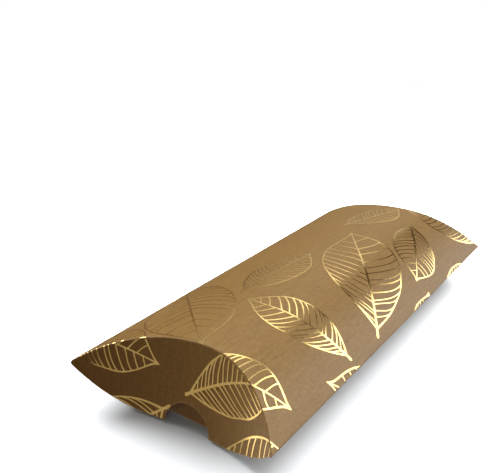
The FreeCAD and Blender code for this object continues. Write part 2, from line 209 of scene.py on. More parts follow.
def make_object(name, co, faces, normals, mats, mat_of_face, attrs):
    """A mesh object from points in millimetres, with a normal for every face corner."""
    mesh = bpy.data.meshes.new(name)
    mesh.from_pydata((np.asarray(co) * MM).tolist(), [], faces)
    for m in mats:
        mesh.materials.append(m)
    mesh.polygons.foreach_set("material_index", np.asarray(mat_of_face, np.int32))
    mesh.polygons.foreach_set("use_smooth", np.ones(len(faces), bool))
    for key, values in attrs.items():
        values = np.asarray(values, np.float32)
        kind = "FLOAT_VECTOR" if values.ndim == 2 else "FLOAT"
        a = mesh.attributes.new(key, kind, "POINT")
        a.data.foreach_set("vector" if values.ndim == 2 else "value", values.ravel())
    mesh.update()
    mesh.normals_split_custom_set(np.asarray(normals, np.float32).tolist())
    obj = bpy.data.objects.new(name, mesh)
    bpy.context.scene.collection.objects.link(obj)
    return obj


def face_normal(co, f):
    a, b, c = (co[f[i]] for i in range(3))
    n = np.cross(b - a, c - a)
    return n / max(np.linalg.norm(n), 1e-12)


def shell(name, P, N, flat, wear, mats, thick=CARD):
    """A closed sheet of card from a grid of its printed face P[i, j] with outward normals N."""
    ni, nj = P.shape[:2]
    co = np.concatenate([P.reshape(-1, 3), (P - N * thick).reshape(-1, 3)])
    nn = np.concatenate([N.reshape(-1, 3), -N.reshape(-1, 3)])
    low = ni * nj
    k = np.arange(low).reshape(ni, nj)
    a, b, c, d = k[:-1, :-1].ravel(), k[1:, :-1].ravel(), k[1:, 1:].ravel(), k[:-1, 1:].ravel()
    mid = (ni // 2) * nj + nj // 2
    test = np.cross(co[k[ni // 2 + 1, nj // 2]] - co[mid], co[k[ni // 2, nj // 2 + 1]] - co[mid])
    out = np.stack([a, b, c, d], 1) if test @ nn[mid] > 0 else np.stack([a, d, c, b], 1)
    faces = out.tolist() + (out[:, ::-1] + low).tolist()
    kinds = [0] * len(out) + [1] * len(out)
    rim = np.concatenate([k[:-1, 0], k[-1, :-1], k[:0:-1, -1], k[0, :0:-1]])
    if test @ nn[mid] < 0:
        rim = rim[::-1]
    nxt = np.roll(rim, -1)
    walls = np.stack([nxt, rim, rim + low, nxt + low], 1)
    faces += walls.tolist()
    kinds += [2] * len(walls)
    normals = []
    for f, kind in zip(faces, kinds):
        if kind < 2:
            normals += [nn[i] for i in f]
        else:
            normals += [face_normal(co, f)] * 4
    flat3 = np.concatenate([flat.reshape(-1, 3), flat.reshape(-1, 3) + (0, 0, 60.0)])
    return make_object(
        name, co, faces, normals, mats, kinds,
        {"flat": flat3, "wear": np.concatenate([wear.ravel(), wear.ravel() * 0.6])},
    )


def sheet_piece(name, u, v, mats, wear=None):
    P, N = blank(u, v)
    if wear is None:
        wear = np.zeros_like(u)
    return shell(name, P, N, np.stack([u, v, np.zeros_like(u)], -1), wear, mats)


# ------------------------------------------------------------------ materials


class Tree:
    def __init__(self, name):
        self.mat = bpy.data.materials.new(name)
        self.mat.use_nodes = True
        self.nt = self.mat.node_tree
        self.nt.nodes.clear()
        self.out = self.nt.nodes.new("ShaderNodeOutputMaterial")
        self.bsdf = self.nt.nodes.new("ShaderNodeBsdfPrincipled")
        self.nt.links.new(self.bsdf.outputs[0], self.out.inputs["Surface"])

    def put(self, socket, value):
        if isinstance(value, bpy.types.NodeSocket):
            self.nt.links.new(value, socket)
        else:
            socket.default_value = value

    def flat(self, name="flat"):
        n = self.nt.nodes.new("ShaderNodeAttribute")
        n.attribute_name = name
        return n.outputs["Vector"] if name == "flat" else n.outputs["Fac"]

    def coords(self):
        return self.nt.nodes.new("ShaderNodeTexCoord").outputs["Object"]

    def mapped(self, vec, scale, turn=0.0, move=(0, 0, 0)):
        n = self.nt.nodes.new("ShaderNodeMapping")
        n.inputs["Scale"].default_value = scale
        n.inputs["Rotation"].default_value = (0, 0, turn)
        n.inputs["Location"].default_value = move
        self.put(n.inputs["Vector"], vec)
        return n.outputs["Vector"]

    def noise(self, vec, scale, detail=4.0, rough=0.55, warp=0.0):
        n = self.nt.nodes.new("ShaderNodeTexNoise")
        n.inputs["Scale"].default_value = scale
        n.inputs["Detail"].default_value = detail
        n.inputs["Roughness"].default_value = rough
        n.inputs["Distortion"].default_value = warp
        self.put(n.inputs["Vector"], vec)
        return n.outputs["Fac"]

    def ramp(self, fac, stops):
        n = self.nt.nodes.new("ShaderNodeValToRGB")
        e = n.color_ramp.elements
        while len(e) < len(stops):
            e.new(0.5)
        for el, (pos, col) in zip(e, stops):
            el.position = pos
            el.color = (*col, 1) if isinstance(col, tuple) else (col, col, col, 1)
        self.put(n.inputs["Fac"], fac)
        return n.outputs["Color"]

    def span(self, value, a, b, c, d):
        n = self.nt.nodes.new("ShaderNodeMapRange")
        for name, x in (("From Min", a), ("From Max", b), ("To Min", c), ("To Max", d)):
            n.inputs[name].default_value = x
        self.put(n.inputs["Value"], value)
        return n.outputs["Result"]

    def math(self, op, a, b):
        n = self.nt.nodes.new("ShaderNodeMath")
        n.operation = op
        self.put(n.inputs[0], a)
        self.put(n.inputs[1], b)
        return n.outputs[0]

    def mix(self, fac, a, b, kind="MIX"):
        n = self.nt.nodes.new("ShaderNodeMix")
        n.data_type, n.blend_type = "RGBA", kind
        self.put(n.inputs[0], fac)
        self.put(n.inputs[6], a if isinstance(a, bpy.types.NodeSocket) else (*a, 1))
        self.put(n.inputs[7], b if isinstance(b, bpy.types.NodeSocket) else (*b, 1))
        return n.outputs[2]

    def bump(self, height, strength, distance):
        n = self.nt.nodes.new("ShaderNodeBump")
        n.inputs["Strength"].default_value = strength
        n.inputs["Distance"].default_value = distance
        self.put(n.inputs["Height"], height)
        return n.outputs["Normal"]


def kraft(name, dark, light, fleck_dark, fleck_light, worn, rough, spec, bumpy):
    """Unbleached kraft card: long fibres along the blank, cloudy formation, dark and pale flecks, paler at worn edges."""
    t = Tree(name)
    flat = t.flat()
    wear = t.flat("wear")
    long_fibre = t.noise(t.mapped(flat, (2.6, 0.30, 1.0)), 1.0, 7.0, 0.62, 0.4)
    streak = t.noise(t.mapped(flat, (0.95, 0.10, 1.0), 0.0, (7.0, 3.0, 1.0)), 1.0, 3.0, 0.55, 0.3)
    cross_fibre = t.noise(t.mapped(flat, (0.5, 2.3, 1.0), 0.55), 1.0, 6.0, 0.6, 0.6)
    cloud = t.noise(flat, 0.085, 3.0, 0.5)
    formation = t.noise(flat, 0.75, 5.0, 0.66, 0.5)
    tone = t.math("ADD", t.math("MULTIPLY", long_fibre, 0.26), t.math("MULTIPLY", cross_fibre, 0.14))
    tone = t.math("ADD", tone, t.math("MULTIPLY", cloud, 0.06))
    tone = t.math("ADD", tone, t.math("MULTIPLY", formation, 0.32))
    tone = t.math("ADD", tone, t.math("MULTIPLY", streak, 0.22))
    mid = tuple((a + b) / 2 for a, b in zip(dark, light))
    col = t.ramp(tone, [(0.39, dark), (0.50, mid), (0.61, light)])
    spots = t.noise(t.mapped(flat, (3.0, 0.9, 1.0), -0.7), 1.0, 2.0, 0.5, 1.2)
    col = t.mix(t.span(spots, 0.68, 0.78, 0.0, 0.55), col, fleck_dark)
    hairs = t.noise(t.mapped(flat, (0.8, 3.6, 1.0), 0.9, (11.0, 5.0, 2.0)), 1.0, 2.0, 0.5, 1.4)
    col = t.mix(t.span(hairs, 0.67, 0.79, 0.0, 0.45), col, fleck_light)
    frayed = t.noise(t.mapped(flat, (1.7, 1.7, 1.0)), 1.4, 5.0, 0.7)
    rubbed = t.math("MULTIPLY", wear, t.span(frayed, 0.38, 0.66, 0.15, 1.0))
    col = t.mix(rubbed, col, worn)
    t.put(t.bsdf.inputs["Base Color"], col)
    t.put(t.bsdf.inputs["Roughness"], t.span(long_fibre, 0.3, 0.7, rough - 0.06, rough + 0.08))
    t.bsdf.inputs["Specular IOR Level"].default_value = spec
    height = t.math("ADD", t.math("MULTIPLY", long_fibre, 0.6), t.math("MULTIPLY", cross_fibre, 0.4))
    height = t.math("ADD", height, t.math("MULTIPLY", t.math("MULTIPLY", wear, frayed), 0.8))
    t.put(t.bsdf.inputs["Normal"], t.bump(height, bumpy, 0.00004))
    return t.mat


def foil(name):
    """Hot-stamped gold foil: mirror-like, a little broken up by the card's fibres under it."""
    t = Tree(name)
    flat = t.flat()
    press = t.noise(flat, 0.55, 4.0, 0.6, 0.4)
    grain = t.noise(t.mapped(flat, (2.4, 0.5, 1.0)), 1.6, 5.0, 0.6)
    thin = t.noise(t.mapped(flat, (1.0, 1.0, 1.0), 0.4, (31, 7, 0)), 2.6, 3.0, 0.6)
    col = t.ramp(press, [(0.32, (0.84, 0.57, 0.17)), (0.52, (0.92, 0.66, 0.24)), (0.70, (0.96, 0.74, 0.33))])
    col = t.mix(t.span(thin, 0.66, 0.80, 0.0, 0.35), col, (0.60, 0.36, 0.11))
    t.put(t.bsdf.inputs["Base Color"], col)
    t.bsdf.inputs["Metallic"].default_value = 1.0
    t.bsdf.inputs["Coat Weight"].default_value = 0.35
    t.bsdf.inputs["Coat Roughness"].default_value = 0.15
    t.bsdf.inputs["Coat IOR"].default_value = 1.55
    t.put(t.bsdf.inputs["Roughness"], t.span(grain, 0.3, 0.7, 0.13, 0.24))
    t.put(t.bsdf.inputs["Normal"], t.bump(t.math("ADD", grain, press), 0.30, 0.00003))
    return t.mat


def adhesive(name):
    t = Tree(name)
    co = t.coords()
    blob = t.noise(co, 420.0, 4.0, 0.6, 0.5)
    col = t.ramp(blob, [(0.35, (0.66, 0.58, 0.42)), (0.65, (0.84, 0.80, 0.68))])
    t.put(t.bsdf.inputs["Base Color"], col)
    t.put(t.bsdf.inputs["Roughness"], t.span(blob, 0.3, 0.7, 0.22, 0.42))
    t.put(t.bsdf.inputs["Normal"], t.bump(blob, 0.4, 0.0001))
    return t.mat


KRAFT = kraft("kraft_outside", (0.300, 0.160, 0.034), (0.470, 0.266, 0.068), (0.140, 0.066, 0.014), (0.58, 0.38, 0.14), (0.74, 0.56, 0.33), 0.48, 0.48, 0.35)
INSIDE = kraft("kraft_inside", (0.330, 0.205, 0.098), (0.450, 0.292, 0.148), (0.170, 0.095, 0.040), (0.58, 0.42, 0.25), (0.58, 0.42, 0.24), 0.68, 0.35, 0.5)
EDGE = kraft("kraft_cut_edge", (0.420, 0.275, 0.135), (0.640, 0.465, 0.270), (0.260, 0.150, 0.070), (0.70, 0.54, 0.35), (0.68, 0.52, 0.33), 0.75, 0.3, 0.6)
FOIL = foil("gold_foil")
CARD_MATS = [KRAFT, INSIDE, EDGE]

# ------------------------------------------------------------------ card pieces

objects = {}


def spread(a, b, n):
    return np.linspace(a, b, n)


def grid(cols, rows):
    return np.meshgrid(cols, rows, indexing="ij")


# top panel, from its cut left edge to the right side fold
cols = np.concatenate([S_LEFT + np.array([0.0, 0.15, 0.5]), spread(S_LEFT + 1.2, S_RIGHT - FOLD_T - 0.6, 92), [S_RIGHT - FOLD_T]])
u, q = grid(cols, spread(-1, 1, 86))
v = q * (top_crease(u) - OUT_T)
worn = 0.9 * smooth(1 - (u - S_LEFT) / 0.5) + 0.10 * smooth(1 - (top_crease(u) - OUT_T - np.abs(v)) / 0.8)
objects["card_top_panel"] = sheet_piece("card_top_panel", u, v, CARD_MATS, np.clip(worn, 0, 1))

# right side fold
f, q = grid(spread(0, 1, 13), spread(-1, 1, 150))
u = S_RIGHT + (2 * f - 1) * FOLD_T
ends = np.where(u > S_RIGHT, base_crease(np.minimum(S_BASE, S_BASE - (u - S_RIGHT))), top_crease(np.minimum(u, S_RIGHT)))
v = q * ends
objects["card_right_fold"] = sheet_piece("card_right_fold", u, v, CARD_MATS, 0.30 * np.sin(np.pi * f))

# left corner, where the bottom panel turns into the glue tab behind the top panel's cut edge
SUNK = CARD + 0.2


def tab_section(a):
    """The tab's outer face, a arc-angle along the arch 0.6 mm under the top panel's face."""
    r = R_LEFT - SUNK
    return SHIFT + r * np.sin(a), FOLD_Z + RISE - R_LEFT + r * np.cos(a)


def left_gap(s):
    """How far the bottom panel's face at s lies inside the tab's arch."""
    x, z = base_section(np.array(s))
    return R_LEFT - SUNK - math.hypot(x - SHIFT, z - (FOLD_Z + RISE - R_LEFT))


lo, hi = -S_BASE, -S_BASE + 4
for _ in range(60):
    m = (lo + hi) / 2
    lo, hi = (m, hi) if left_gap(m) < 0 else (lo, m)
CORNER_S = (lo + hi) / 2
cx, cz = (float(c) for c in base_section(np.array(CORNER_S)))
CORNER_A = math.atan2(cx - SHIFT, cz - (FOLD_Z + RISE - R_LEFT))
ab = (abs(CORNER_S) - REST) / R_BASE
LEFT_TURN = math.pi - ab - abs(CORNER_A)
LEFT_R = 0.5
LEFT_T = LEFT_R * math.tan(LEFT_TURN / 2)
U_LEFT = S_RIGHT + (S_BASE - (CORNER_S + LEFT_T))

# bottom panel
cols = np.concatenate([[S_RIGHT + FOLD_T], spread(S_RIGHT + FOLD_T + 0.6, U_LEFT - 0.6, 92), [U_LEFT]])
u, q = grid(cols, spread(-1, 1, 86))
v = q * (base_crease(S_BASE - (u - S_RIGHT)) - IN_T)
worn = 0.10 * smooth(1 - (base_crease(S_BASE - (u - S_RIGHT)) - IN_T - np.abs(v)) / 0.8)
objects["card_bottom_panel"] = sheet_piece("card_bottom_panel", u, v, CARD_MATS, worn)

# tab fold and tab
x0, z0 = (float(c) for c in base_section(np.array(CORNER_S + LEFT_T)))
a0 = (abs(CORNER_S + LEFT_T) - REST) / R_BASE
n0, t0 = np.array([-math.sin(a0), -math.cos(a0)]), np.array([-math.cos(a0), math.sin(a0)])
b = spread(0, LEFT_TURN, 12)
fold_xz = np.array([x0, z0]) + LEFT_R * (np.outer(np.cos(b) - 1, n0) + np.outer(np.sin(b), t0))
fold_n = np.outer(np.cos(b), n0) + np.outer(np.sin(b), t0)
a_in = math.atan2(fold_xz[-1, 0] - SHIFT, fold_xz[-1, 1] - (FOLD_Z + RISE - R_LEFT))
a_tip = math.asin((12.0 - HALF_W - SHIFT) / (R_LEFT - SUNK))
angles = spread(a_in, a_tip, 24)[1:]
tx, tz = tab_section(angles)
sec = np.concatenate([fold_xz, np.stack([tx, tz], 1)])
sec_n = np.concatenate([fold_n, np.stack([np.sin(angles), np.cos(angles)], 1)])
run = np.concatenate([[0], np.cumsum(np.linalg.norm(np.diff(sec, axis=0), axis=1))])
along = np.clip((run - run[len(fold_xz) - 1]) / (run[-1] - run[len(fold_xz) - 1]), 0, 1)
half = 72.0 - 8.0 * along
k, q = grid(np.arange(len(sec)), spread(-1, 1, 70))
v = q * half[k]
P = np.stack([sec[k, 0], v, sec[k, 1]], -1)
N = np.stack([sec_n[k, 0], np.zeros_like(v), sec_n[k, 1]], -1)
wear = np.where(k < len(fold_xz), 0.7 * np.sin(np.pi * np.clip(k / (len(fold_xz) - 1), 0, 1)), 0.0)
objects["card_glue_tab"] = shell("card_glue_tab", P, N, np.stack([U_END + run[k], v, np.zeros_like(v)], -1), wear, CARD_MATS)

# glue line between the tab and the top panel, squeezed out unevenly
ga = spread(math.asin((-37.4 - SHIFT) / R_LEFT), math.asin((-31.6 - SHIFT) / R_LEFT), 14)
k, q = grid(np.arange(14), spread(-1, 1, 120))
edge = np.clip(np.minimum(k, 13 - k) / 4.0, 0, 1)
rag = 0.5 * np.sin(q * 47.0) + 0.35 * np.sin(q * 101.0 + 1.3)
mid = (ga[0] + ga[-1]) / 2
ang = mid + (ga[k] - mid) * (1 + 0.07 * rag)
v = q * 57.8 + 0.2 * np.sin(k * 1.7)
r = R_LEFT - CARD - 0.004
P = np.stack([SHIFT + r * np.sin(ang), v, FOLD_Z + RISE - R_LEFT + r * np.cos(ang)], -1)
N = np.stack([np.sin(ang), np.zeros_like(v), np.cos(ang)], -1)
GLUE = adhesive("dried_glue")
objects["glue_strip"] = shell("glue_strip", P, N, np.stack([ang * R_LEFT, v, np.zeros_like(v)], -1), np.zeros_like(v), [GLUE, GLUE, GLUE], 0.19)

# end flaps with their curved creases
x_right = float(top_section(np.array(S_RIGHT - FOLD_T))[0])
x_out = np.concatenate([
    spread(-HALF_W, NOTCH_X - NOTCH_R, 58)[:-1],
    NOTCH_X - NOTCH_R * np.cos(spread(0, math.pi, 49)),
    spread(NOTCH_X + NOTCH_R, x_right, 50)[1:],
])
u_out = top_s(x_out)
x_base_right = float(base_section(np.array(S_BASE - FOLD_T))[0])
x_base_left = float(base_section(np.array(CORNER_S + LEFT_T))[0])
x_in = spread(x_base_left, x_base_right, 110)
u_in = S_RIGHT + S_BASE - base_s(x_in)


def edge_wear(left):
    return smooth(1.25 - left / 0.40)


for end, side in (("front", -1.0), ("rear", 1.0)):
    for kind in ("outer", "inner"):
        if kind == "outer":
            cols, crease, reach, t = u_out, top_crease(u_out), out_reach(u_out), OUT_T
        else:
            sb = S_BASE - (u_in - S_RIGHT)
            cols, crease, reach, t = u_in, base_crease(sb), in_reach(sb), IN_T
        j = np.arange(len(cols))
        f, k = np.meshgrid(spread(0, 1, 13), j, indexing="ij")
        f, k = f.T, k.T
        u, v = cols[k], side * (crease[k] + (2 * f - 1) * t)
        name = f"card_{end}_{kind}_crease"
        objects[name] = sheet_piece(name, u, v, CARD_MATS, 0.10 * np.sin(np.pi * f))
        rows = np.concatenate([spread(0, 0.9, 30), spread(0.925, 1.0, 7)])
        f, k = np.meshgrid(rows, j, indexing="ij")
        f, k = f.T, k.T
        u = cols[k]
        d = t + f * (reach[k] - t)
        v = side * (crease[k] + d)
        name = f"card_{end}_{kind}_flap"
        objects[name] = sheet_piece(name, u, v, CARD_MATS, edge_wear(reach[k] - d))

# ------------------------------------------------------------------ gold leaves
# A leaf is drawn from a plain formula: two Bezier sides, a midrib and evenly set side veins.


class Rand:
    """Small repeatable random numbers."""

    def __init__(self, seed):
        self.r = np.random.RandomState(seed)

    def __call__(self, size=1.0):
        return float(self.r.uniform(-size, size))


def bezier(p, n):
    t = spread(0, 1, n)[:, None]
    p = np.asarray(p, float)
    if len(p) == 4:
        return (1 - t) ** 3 * p[0] + 3 * t * (1 - t) ** 2 * p[1] + 3 * t * t * (1 - t) * p[2] + t**3 * p[3]
    return (1 - t) ** 2 * p[0] + 2 * t * (1 - t) * p[1] + t * t * p[2]


def stroke(points, widths):
    """The outline of a pen stroke of varying width, with rounded ends."""
    d = np.gradient(points, axis=0)
    d /= np.maximum(np.linalg.norm(d, axis=1, keepdims=True), 1e-9)
    n = np.stack([-d[:, 1], d[:, 0]], 1)
    w = np.asarray(widths)[:, None] / 2
    left, right = points + n * w, points - n * w
    tip = points[-1] + d[-1] * w[-1]
    tail = points[0] - d[0] * w[0]
    return np.concatenate([right, [tip], left[::-1], [tail]])


PROFILE_T = np.array([0.0, 0.05, 0.11, 0.19, 0.29, 0.41, 0.53, 0.65, 0.76, 0.85, 0.915, 0.96, 1.0])
PROFILE_H = np.array([0.0, 0.20, 0.41, 0.63, 0.83, 0.96, 1.00, 0.95, 0.79, 0.52, 0.26, 0.09, 0.0])


def soft_curve(x, xs, ys):
    """A smooth curve through points: Hermite pieces with averaged slopes."""
    d = np.gradient(ys, xs)
    i = np.clip(np.searchsorted(xs, x) - 1, 0, len(xs) - 2)
    h = xs[i + 1] - xs[i]
    t = (x - xs[i]) / h
    return (
        (2 * t**3 - 3 * t**2 + 1) * ys[i] + (t**3 - 2 * t**2 + t) * h * d[i]
        + (-2 * t**3 + 3 * t**2) * ys[i + 1] + (t**3 - t**2) * h * d[i + 1]
    )


def leaf(stem, tip, width, veins, bend, twist, seed):
    """Pen strokes of one leaf in blank coordinates."""
    rnd = Rand(seed)
    stem, tip = np.array(stem, float), np.array(tip, float)
    L = float(np.linalg.norm(tip - stem))
    ax = (tip - stem) / L
    ay = np.array([-ax[1], ax[0]])
    pen = 0.95 + 0.11 * min(L / 60.0, 1.1)

    base = 0.05 * L
    blade = L - base

    def curve(x):
        return bend * L * 4 * (x / L) * (1 - x / L)

    def place(p):
        p = np.asarray(p, float)
        return stem + np.outer(p[:, 0], ax) + np.outer(p[:, 1] + curve(p[:, 0]), ay)

    strokes = []
    half = {}
    for sgn in (1, -1):
        wide, skew = width / 2 * (1 + rnd(0.05)), sgn * twist + rnd(0.02)

        def height(t, wide=wide, skew=skew, sgn=sgn):
            t = np.clip(t, 0.0, 1.0)
            return sgn * wide * np.clip(soft_curve(np.clip(t + skew * np.sin(np.pi * t), 0, 1), PROFILE_T, PROFILE_H), 0, None)

        half[sgn] = height
        n = max(30, int(L * 1.3))
        f = np.linspace(0, 1, n)
        t = f + 0.04 * np.sin(2 * np.pi * f) / (2 * np.pi)
        p = np.stack([base + t * blade, height(t)], 1)
        p[:, 1] += 0.10 * np.sin(np.linspace(0, 23 + rnd(4), n) + rnd(3)) * np.sin(np.pi * f)
        w = 0.54 + 0.07 * np.sin(f * 19 + rnd(3)) + 0.42 * np.exp(-f / 0.06) + 0.34 * np.exp(-(1 - f) / 0.05)
        strokes.append(stroke(place(p), pen * w))
    n = max(28, int(L * 1.2))
    f = np.linspace(0.0, 1.01, n)
    rib = np.stack([f * L, 0.14 * np.sin(f * 8 + rnd(3)) * np.sin(np.pi * np.clip(f, 0, 1))], 1)
    g = np.clip(f, 0, 1)
    strokes.append(stroke(place(rib), pen * (0.46 + 0.52 * (1 - g) ** 1.1 + 0.30 * np.exp(-g / 0.03) + 0.15 * np.exp(-(1 - g) / 0.04))))
    for sgn in (1, -1):
        late = 0.25 if sgn < 0 else -0.2
        for i in range(veins):
            t1 = 0.115 + 0.80 * ((i + 0.5 + late + rnd(0.14)) / veins) ** 0.96
            if t1 > 0.93:
                continue
            y1 = float(half[sgn](np.array(t1))) * (0.985 + rnd(0.012))
            x1 = base + t1 * blade
            if abs(y1) < 0.8:
                continue
            lean = (0.66 + 0.05 * t1 + rnd(0.05)) * abs(y1)
            x0 = max(base + (0.006 + 0.008 * i) * L, x1 - lean)
            d = x1 - x0
            p = bezier(
                [(x0, 0.0), (x0 + (0.26 + rnd(0.04)) * d, 0.34 * y1), (x0 + (0.50 + rnd(0.05)) * d, (0.74 + rnd(0.03)) * y1), (x1, y1)],
                max(7, int(abs(y1) * 1.3)),
            )
            f = np.linspace(0, 1, len(p))
            p[:, 0] += rnd(0.10) * np.sin(f * 6.3 + rnd(3))
            w = 0.50 + rnd(0.05) - 0.06 * np.sin(np.pi * f) + 0.16 * np.exp(-f / 0.08) + 0.05 * np.exp(-(1 - f) / 0.06)
            strokes.append(stroke(place(p), pen * w))
    return strokes


LEAVES = [
    # stem, tip, width, side veins, bend, twist
    ((34.2, -18.6), (-7.6, 33.0), 32.4, 13, 0.022, 0.05),
    ((8.2, 60.0), (28.8, 25.2), 20.0, 13, 0.01, 0.0),
    ((33.2, -38.2), (-9.6, -42.8), 20.8, 13, 0.045, 0.0),
    ((-16.0, 43.0), (-3.2, 73.5), 17.5, 12, -0.02, 0.02),
    ((-15.0, -39.0), (-11.5, 4.5), 19.5, 14, 0.02, 0.02),
    ((-51.0, -29.8), (-3.6, -75.6), 33.5, 13, -0.012, 0.03),
    ((35.8, 89.0), (2.0, 73.5), 21.0, 13, 0.02, 0.0),
    ((47.0, 32.0), (45.0, 76.0), 20.0, 13, 0.0, 0.02),
    ((62.0, -3.0), (36.0, 27.0), 18.0, 13, 0.02, 0.0),
    ((77.0, -12.5), (33.5, -53.9), 24.0, 13, 0.0, 0.0),
    ((-60.5, -77.6), (-19.0, -87.3), 20.5, 13, 0.01, 0.0),
    ((-7.4, -94.8), (31.0, -74.2), 19.8, 14, 0.032, -0.06),
    ((-13.4, -101.0), (-62.0, -136.4), 30.0, 13, 0.0, 0.0),
    ((-5.7, -138.0), (66.8, -84.6), 36.0, 16, 0.0, 0.0),
    ((-61.0, -14.0), (-51.5, 27.0), 17.0, 13, -0.02, 0.03),
    ((-51.0, 42.0), (-59.0, 84.0), 17.0, 13, 0.02, -0.03),
    ((-28.0, 88.5), (2.0, 107.0), 19.5, 13, 0.02, 0.03),
    ((6.0, 113.0), (38.5, 101.0), 17.0, 12, 0.0, 0.0),
    ((98.0, -55.0), (109.0, -94.0), 20.0, 13, 0.01, 0.03),
    ((92.0, -20.0), (123.0, -47.0), 20.0, 13, -0.02, 0.0),
    ((78.0, 6.0), (119.0, -11.0), 20.0, 13, 0.02, 0.04),
    ((112.0, 13.0), (71.0, 56.0), 32.0, 13, -0.012, 0.05),
    ((125.5, 30.0), (112.5, 68.0), 18.0, 13, 0.02, -0.03),
    ((57.0, 61.0), (82.0, 92.0), 19.0, 13, -0.02, 0.0),
    ((121.0, 76.0), (99.0, 104.0), 17.0, 12, 0.0, 0.03),
    ((85.0, -37.0), (78.0, -72.0), 17.0, 12, 0.02, -0.04),
]

FOIL_UP, FOIL_DOWN = 0.03, 0.05


def limit(u):
    """The last v of the sheet at u."""
    u = np.asarray(u, float)
    s = S_BASE - (u - S_RIGHT)
    over = u > S_RIGHT
    top = top_crease(np.where(over, 0, u)) + out_reach(np.where(over, 0, u))
    base = base_crease(np.where(over, s, 0)) + in_reach(np.where(over, s, 0))
    at_fold = np.abs(u - S_RIGHT) < FOLD_T
    return np.where(at_fold, 89.3, np.where(over, base, top)) - 0.12


def crease_at(u):
    over = u > S_RIGHT
    s = S_BASE - (u - S_RIGHT)
    c = np.where(over, base_crease(np.where(over, s, 0)), top_crease(np.where(over, 0, u)))
    return c, np.where(over, IN_T, OUT_T)


def home(u, v):
    """The card piece that carries each point (u, v)."""
    c, t = crease_at(u)
    past = np.abs(v) - c
    over = u > S_RIGHT
    names = np.where(over, "bottom_panel", "top_panel").astype(object)
    for end, side in (("front", v < 0), ("rear", v >= 0)):
        names[side & (past > -t) & over] = f"{end}_inner_flap"
        names[side & (past > -t) & ~over] = f"{end}_outer_flap"
    names[np.abs(u - S_RIGHT) < FOLD_T] = "right_fold"
    return names


pieces = {}
for number, spec in enumerate(LEAVES):
    polys = leaf(*spec, seed=101 + 7 * number)
    pts, edges, faces = [], [], []
    for poly in polys:
        base = len(pts)
        pts += [Vector((float(a), float(b))) for a, b in poly]
        faces.append(list(range(base, base + len(poly))))
    every = np.concatenate(polys)
    (u0, v0), (u1, v1) = every.min(0) - 1.0, every.max(0) + 1.0

    def line(us, vs):
        base = len(pts)
        pts.extend(Vector((float(a), float(b))) for a, b in zip(us, vs))
        edges.extend((base + i, base + i + 1) for i in range(len(us) - 1))

    # lines where the sheet is bent or ends, so that no triangle crosses one
    for lo, hi, wide in ((max(u0, S_LEFT), min(u1, S_RIGHT - FOLD_T), OUT_T), (max(u0, S_RIGHT + FOLD_T), min(u1, U_LEFT), IN_T)):
        if hi - lo < 0.5:
            continue
        us = spread(lo, hi, max(4, int((hi - lo) / 0.8)))
        if lo < S_RIGHT:
            us = np.union1d(us, u_out[(u_out > lo) & (u_out < hi)])
        c, _ = crease_at(us)
        e = limit(us)
        for sgn in (-1, 1):
            if sgn * (v0 if sgn < 0 else v1) < c.min() - 2:
                continue
            for f in spread(-1, 1, 7):
                line(us, sgn * (c + f * wide))
            line(us, sgn * e)
    if u0 < S_RIGHT + FOLD_T and u1 > S_RIGHT - FOLD_T:
        vs = spread(max(v0, -89.3), min(v1, 89.3), max(4, int((min(v1, 89.3) - max(v0, -89.3)) / 1.0)))
        for f in spread(-1, 1, 7):
            line(np.full(len(vs), S_RIGHT + f * FOLD_T), vs)
    if u0 < S_LEFT + 0.25:
        vs = spread(v0, v1, max(4, int(v1 - v0)))
        line(np.full(len(vs), S_LEFT + 0.25), vs)
    if u1 > U_LEFT - 0.1:
        vs = spread(v0, v1, max(4, int(v1 - v0)))
        line(np.full(len(vs), U_LEFT - 0.1), vs)
    co, _, tris, _, _, owners = delaunay_2d_cdt(pts, edges, faces, 0, 1e-4)
    co = np.array([(p.x, p.y) for p in co])
    tris = np.array([tri for tri, own in zip(tris, owners) if own])
    a, b, d = co[tris[:, 0]], co[tris[:, 1]], co[tris[:, 2]]
    c = (a + b + d) / 3
    area = np.abs((b[:, 0] - a[:, 0]) * (d[:, 1] - a[:, 1]) - (b[:, 1] - a[:, 1]) * (d[:, 0] - a[:, 0]))
    keep = (c[:, 0] > S_LEFT + 0.25) & (c[:, 0] < U_LEFT - 0.1) & (np.abs(c[:, 1]) < limit(c[:, 0])) & (area > 2e-5)
    for tri, name in zip(tris[keep].tolist(), home(c[keep, 0], c[keep, 1])):
        pieces.setdefault(name, []).append((number, co, tri))


def foil_object(name, tris):
    """One closed thin solid of foil for every stretch of triangles, laid on the printed face."""
    keys, flat = {}, []

    def key(number, i, co):
        k = (number, i)
        if k not in keys:
            keys[k] = len(flat)
            flat.append(co[i])
        return keys[k]

    faces = [[key(n, i, co) for i in tri] for n, co, tri in tris]
    flat = np.array(flat)
    P, N = blank(flat[:, 0], flat[:, 1])
    n = len(flat)
    co3 = np.concatenate([P + N * FOIL_UP, P - N * FOIL_DOWN])
    top, walls, seen = [], [], {}
    for f in faces:
        a, b, c = (co3[i] for i in f)
        if np.cross(b - a, c - a) @ N[f[0]] < 0:
            f = f[::-1]
        top.append(f)
        for i in range(3):
            e = (f[i], f[(i + 1) % 3])
            seen[e] = seen.get(e, 0) + 1
    for a, b in seen:
        if (b, a) not in seen:
            walls.append([b, a, a + n, b + n])
    all_faces = top + [[i + n for i in f[::-1]] for f in top] + walls
    normals = [N[i] for f in top for i in f] + [-N[i] for f in top for i in f[::-1]]
    for w in walls:
        normals += [face_normal(co3, w)] * 4
    z = np.zeros((n, 1))
    flat3 = np.concatenate([np.hstack([flat, z]), np.hstack([flat, z])])
    obj = make_object(name, co3, all_faces, normals, [FOIL], [0] * len(all_faces), {"flat": flat3})
    return obj


for where in sorted(pieces):
    objects["foil_" + where] = foil_object("foil_" + where, pieces[where])
